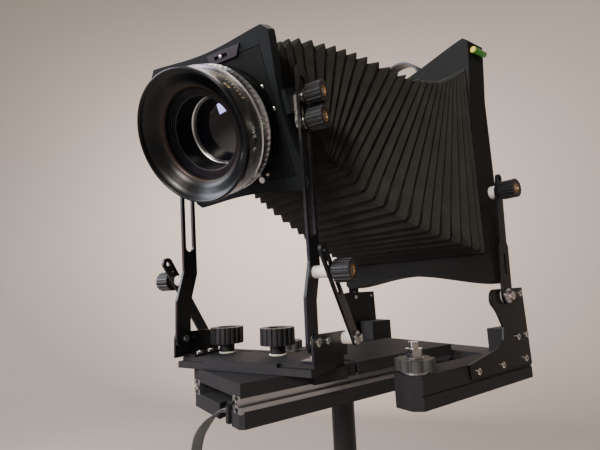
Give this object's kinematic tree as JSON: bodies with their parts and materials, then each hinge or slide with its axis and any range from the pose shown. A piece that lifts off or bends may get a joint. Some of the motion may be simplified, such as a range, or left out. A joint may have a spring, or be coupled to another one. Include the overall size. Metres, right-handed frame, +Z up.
{
  "type": "large-format film camera on tripod",
  "caption": "Folding-bellows sheet-film camera with a tilting lens standard and a rear standard on a slotted-rail bed, standing on a column tripod.",
  "frame": {"origin": "floor level under the axis of the tripod column", "axes": "+Z up, the bed runs along Y and the lens end is towards -Y, +X is the camera's left side seen from behind the lens"},
  "size_m": [0.606, 0.5851, 1.3536],
  "materials": {
    "bare_alu": "satin extruded",
    "bellows_cloth": "folded black cloth",
    "black_alu": "black anodised tube",
    "black_metal": "satin black enamel",
    "black_plastic": "moulded black",
    "frame_grey": "dark grey-brown, fine printed layers",
    "frosted": "finely ground",
    "glass": "coated optical glass",
    "lens_black": "semi-gloss black enamel",
    "printed_grey": "dark grey, fine printed layers",
    "steel": "bright zinc plated",
    "strap_web": "grey-green, flat",
    "vial_green": "clear green tube with a yellow end",
    "white_nylon": "smooth white"
  },
  "bodies": {
    "crown": {"tripod_crown": "black_metal"},
    "leg_1": {"leg_1": "black_alu"},
    "leg_2": {"leg_2": "black_alu"},
    "leg_3": {"leg_3": "black_alu"},
    "collar": {"pan_collar": "black_plastic"},
    "collar_knob": {"collar_knob": "black_plastic"},
    "bed": {"column": "black_alu", "strap_clips": "black_plastic", "carry_strap": "strap_web", "bed_plate": "printed_grey", "rails": "bare_alu", "rear_deck": "printed_grey"},
    "carriage": {"front_carriage": "printed_grey", "bellows_5": "bellows_cloth"},
    "front_base": {"front_base": "printed_grey", "front_brackets": "black_metal", "front_screws": "steel", "base_washers": "white_nylon", "bellows_4": "bellows_cloth"},
    "base_knob_1": {"base_knob_1": "black_plastic"},
    "base_knob_2": {"base_knob_2": "black_plastic"},
    "uprights": {"front_uprights": "black_metal", "strut_spacers": "white_nylon", "bellows_3": "bellows_cloth"},
    "strut_right": {"strut_right": "black_metal"},
    "strut_left": {"strut_left": "black_metal"},
    "strut_knob_right": {"strut_knob_right": "black_plastic"},
    "strut_knob_left": {"strut_knob_left": "black_plastic"},
    "carriers": {"frame_carriers": "steel", "bellows_2": "bellows_cloth"},
    "tilt_knob_right": {"tilt_knob_right": "black_plastic"},
    "tilt_knob_left": {"tilt_knob_left": "black_plastic"},
    "rise_knob_right": {"rise_knob_right": "black_plastic"},
    "rise_knob_left": {"rise_knob_left": "black_plastic"},
    "front_frame": {"front_frame": "frame_grey", "lens_board": "black_plastic", "lens_barrel": "lens_black", "front_glass": "glass", "shutter": "lens_black", "rear_cell": "lens_black", "bellows_1": "bellows_cloth"},
    "board_latch": {"board_latch": "black_plastic"},
    "aperture_ring": {"aperture_ring": "steel"},
    "cocking_lever": {"cocking_lever": "steel"},
    "rear_base": {"rear_base": "printed_grey", "rear_screws": "steel", "rear_brackets": "black_metal", "rear_uprights": "black_metal", "rear_spacers": "white_nylon", "bellows_6": "bellows_cloth"},
    "clamp_disc_right": {"clamp_disc_right": "black_plastic"},
    "clamp_disc_left": {"clamp_disc_left": "black_plastic"},
    "rear_knob_right": {"rear_knob_right": "black_plastic"},
    "rear_knob_left": {"rear_knob_left": "black_plastic"},
    "rear_frame": {"rear_frame": "frame_grey", "level_vial": "vial_green", "top_strap": "black_plastic", "glass_back": "black_plastic", "ground_glass": "frosted", "bellows_7": "bellows_cloth"}
  },
  "joints": [
    {"name": "leg_spread_1", "type": "hinge", "parent": "crown", "child": "leg_1", "pos_m": [0.0381, -0.022, 0.66], "axis": [0.5, 0.866, 0], "range_deg": [0, 22]},
    {"name": "leg_spread_2", "type": "hinge", "parent": "crown", "child": "leg_2", "pos_m": [0, 0.044, 0.66], "axis": [-1, 0, 0], "range_deg": [0, 22]},
    {"name": "leg_spread_3", "type": "hinge", "parent": "crown", "child": "leg_3", "pos_m": [-0.0381, -0.022, 0.66], "axis": [0.5, -0.866, 0], "range_deg": [0, 22]},
    {"name": "pan", "type": "hinge", "parent": "crown", "child": "collar", "pos_m": [0, 0, 0.6763], "axis": [0, 0, 1], "continuous": true},
    {"name": "collar_knob_turn", "type": "hinge", "parent": "collar", "child": "collar_knob", "pos_m": [0, -0.04, 0.6903], "axis": [0, -1, 0], "continuous": true},
    {"name": "column_height", "type": "slide", "parent": "collar", "child": "bed", "axis": [0, 0, 1], "range_m": [-0.05, 0.1]},
    {"name": "focus", "type": "slide", "parent": "bed", "child": "carriage", "axis": [0, 1, 0], "range_m": [-0.06, 0.0045], "deforming": ["bellows_1", "bellows_2", "bellows_3", "bellows_4", "bellows_5", "bellows_6", "bellows_7"]},
    {"name": "front_swing", "type": "hinge", "parent": "carriage", "child": "front_base", "pos_m": [0.0045, -0.09, 0.939], "axis": [0, 0, 1], "range_deg": [-30, 10], "deforming": ["bellows_1", "bellows_2", "bellows_3", "bellows_4", "bellows_5", "bellows_6", "bellows_7"]},
    {"name": "base_knob_1_turn", "type": "hinge", "parent": "front_base", "child": "base_knob_1", "pos_m": [-0.05894, -0.11958, 0.959], "axis": [0, 0, 1], "continuous": true},
    {"name": "base_knob_2_turn", "type": "hinge", "parent": "front_base", "child": "base_knob_2", "pos_m": [0.0045, -0.09, 0.959], "axis": [0, 0, 1], "continuous": true},
    {"name": "upright_tilt", "type": "hinge", "parent": "front_base", "child": "uprights", "pos_m": [0.00625, -0.13398, 0.9698], "axis": [0.9063, 0.4226, 0], "range_deg": [-8, 8], "deforming": ["bellows_1", "bellows_2", "bellows_3", "bellows_4", "bellows_5", "bellows_6", "bellows_7"]},
    {"name": "strut_right_turn", "type": "hinge", "parent": "front_base", "child": "strut_right", "pos_m": [0.07387, -0.04, 0.967], "axis": [0.9063, 0.4226, 0], "range_deg": [-8, 8]},
    {"name": "strut_knob_right_turn", "type": "hinge", "parent": "uprights", "child": "strut_knob_right", "pos_m": [0.10252, -0.08015, 1.034], "axis": [0.9063, 0.4226, 0], "continuous": true},
    {"name": "strut_left_turn", "type": "hinge", "parent": "front_base", "child": "strut_left", "pos_m": [-0.10921, -0.12537, 0.967], "axis": [0.9063, 0.4226, 0], "range_deg": [-8, 8]},
    {"name": "strut_knob_left_turn", "type": "hinge", "parent": "uprights", "child": "strut_knob_left", "pos_m": [-0.09687, -0.17313, 1.034], "axis": [-0.9063, -0.4226, 0], "continuous": true},
    {"name": "front_rise", "type": "slide", "parent": "uprights", "child": "carriers", "axis": [0.0177, -0.038, 0.9991], "range_m": [-0.1, 0.01], "deforming": ["bellows_1", "bellows_2", "bellows_3", "bellows_4", "bellows_5", "bellows_6", "bellows_7"]},
    {"name": "tilt_knob_right_turn", "type": "hinge", "parent": "carriers", "child": "tilt_knob_right", "pos_m": [0.09085, -0.09061, 1.211], "axis": [0.9063, 0.4226, 0], "continuous": true},
    {"name": "rise_knob_right_turn", "type": "hinge", "parent": "carriers", "child": "rise_knob_right", "pos_m": [0.09039, -0.08962, 1.185], "axis": [0.9063, 0.4226, 0], "continuous": true},
    {"name": "tilt_knob_left_turn", "type": "hinge", "parent": "carriers", "child": "tilt_knob_left", "pos_m": [-0.08135, -0.1709, 1.211], "axis": [-0.9063, -0.4226, 0], "continuous": true},
    {"name": "rise_knob_left_turn", "type": "hinge", "parent": "carriers", "child": "rise_knob_left", "pos_m": [-0.08181, -0.16992, 1.185], "axis": [-0.9063, -0.4226, 0], "continuous": true},
    {"name": "frame_tilt", "type": "hinge", "parent": "carriers", "child": "front_frame", "pos_m": [0.00475, -0.13076, 1.211], "axis": [0.9063, 0.4226, 0], "range_deg": [-37, 8], "deforming": ["bellows_1", "bellows_2", "bellows_3", "bellows_4", "bellows_5", "bellows_6", "bellows_7"]},
    {"name": "latch_slide", "type": "slide", "parent": "front_frame", "child": "board_latch", "axis": [0.1945, -0.4171, 0.8878], "range_m": [0, 0.005]},
    {"name": "aperture_turn", "type": "hinge", "parent": "front_frame", "child": "aperture_ring", "pos_m": [0.02356, -0.17111, 1.17868], "axis": [0.3752, -0.8046, -0.4602], "range_deg": [-45, 45]},
    {"name": "cocking_turn", "type": "hinge", "parent": "front_frame", "child": "cocking_lever", "pos_m": [0.01681, -0.15662, 1.18697], "axis": [0.3752, -0.8046, -0.4602], "range_deg": [0, 40]},
    {"name": "rear_slide", "type": "slide", "parent": "bed", "child": "rear_base", "axis": [0, 1, 0], "range_m": [-0.008, 0.09], "deforming": ["bellows_1", "bellows_2", "bellows_3", "bellows_4", "bellows_5", "bellows_6", "bellows_7"]},
    {"name": "clamp_disc_right_turn", "type": "hinge", "parent": "rear_base", "child": "clamp_disc_right", "pos_m": [0.113, 0.001, 0.94], "axis": [0, 0, 1], "continuous": true},
    {"name": "rear_knob_right_turn", "type": "hinge", "parent": "rear_base", "child": "rear_knob_right", "pos_m": [0.145, 0.157, 1.126], "axis": [1, 0, 0], "continuous": true},
    {"name": "clamp_disc_left_turn", "type": "hinge", "parent": "rear_base", "child": "clamp_disc_left", "pos_m": [-0.113, 0.001, 0.94], "axis": [0, 0, 1], "continuous": true},
    {"name": "rear_knob_left_turn", "type": "hinge", "parent": "rear_base", "child": "rear_knob_left", "pos_m": [-0.145, 0.157, 1.126], "axis": [-1, 0, 0], "continuous": true},
    {"name": "rear_tilt", "type": "hinge", "parent": "rear_base", "child": "rear_frame", "pos_m": [0, 0.157, 1.126], "axis": [1, 0, 0], "range_deg": [-8, 8], "deforming": ["bellows_1", "bellows_2", "bellows_3", "bellows_4", "bellows_5", "bellows_6", "bellows_7"]}
  ],
  "couplings": [
    {"joint": "strut_right_turn", "follows": "upright_tilt", "ratio": 0.5707},
    {"joint": "strut_left_turn", "follows": "upright_tilt", "ratio": 0.5707}
  ]
}
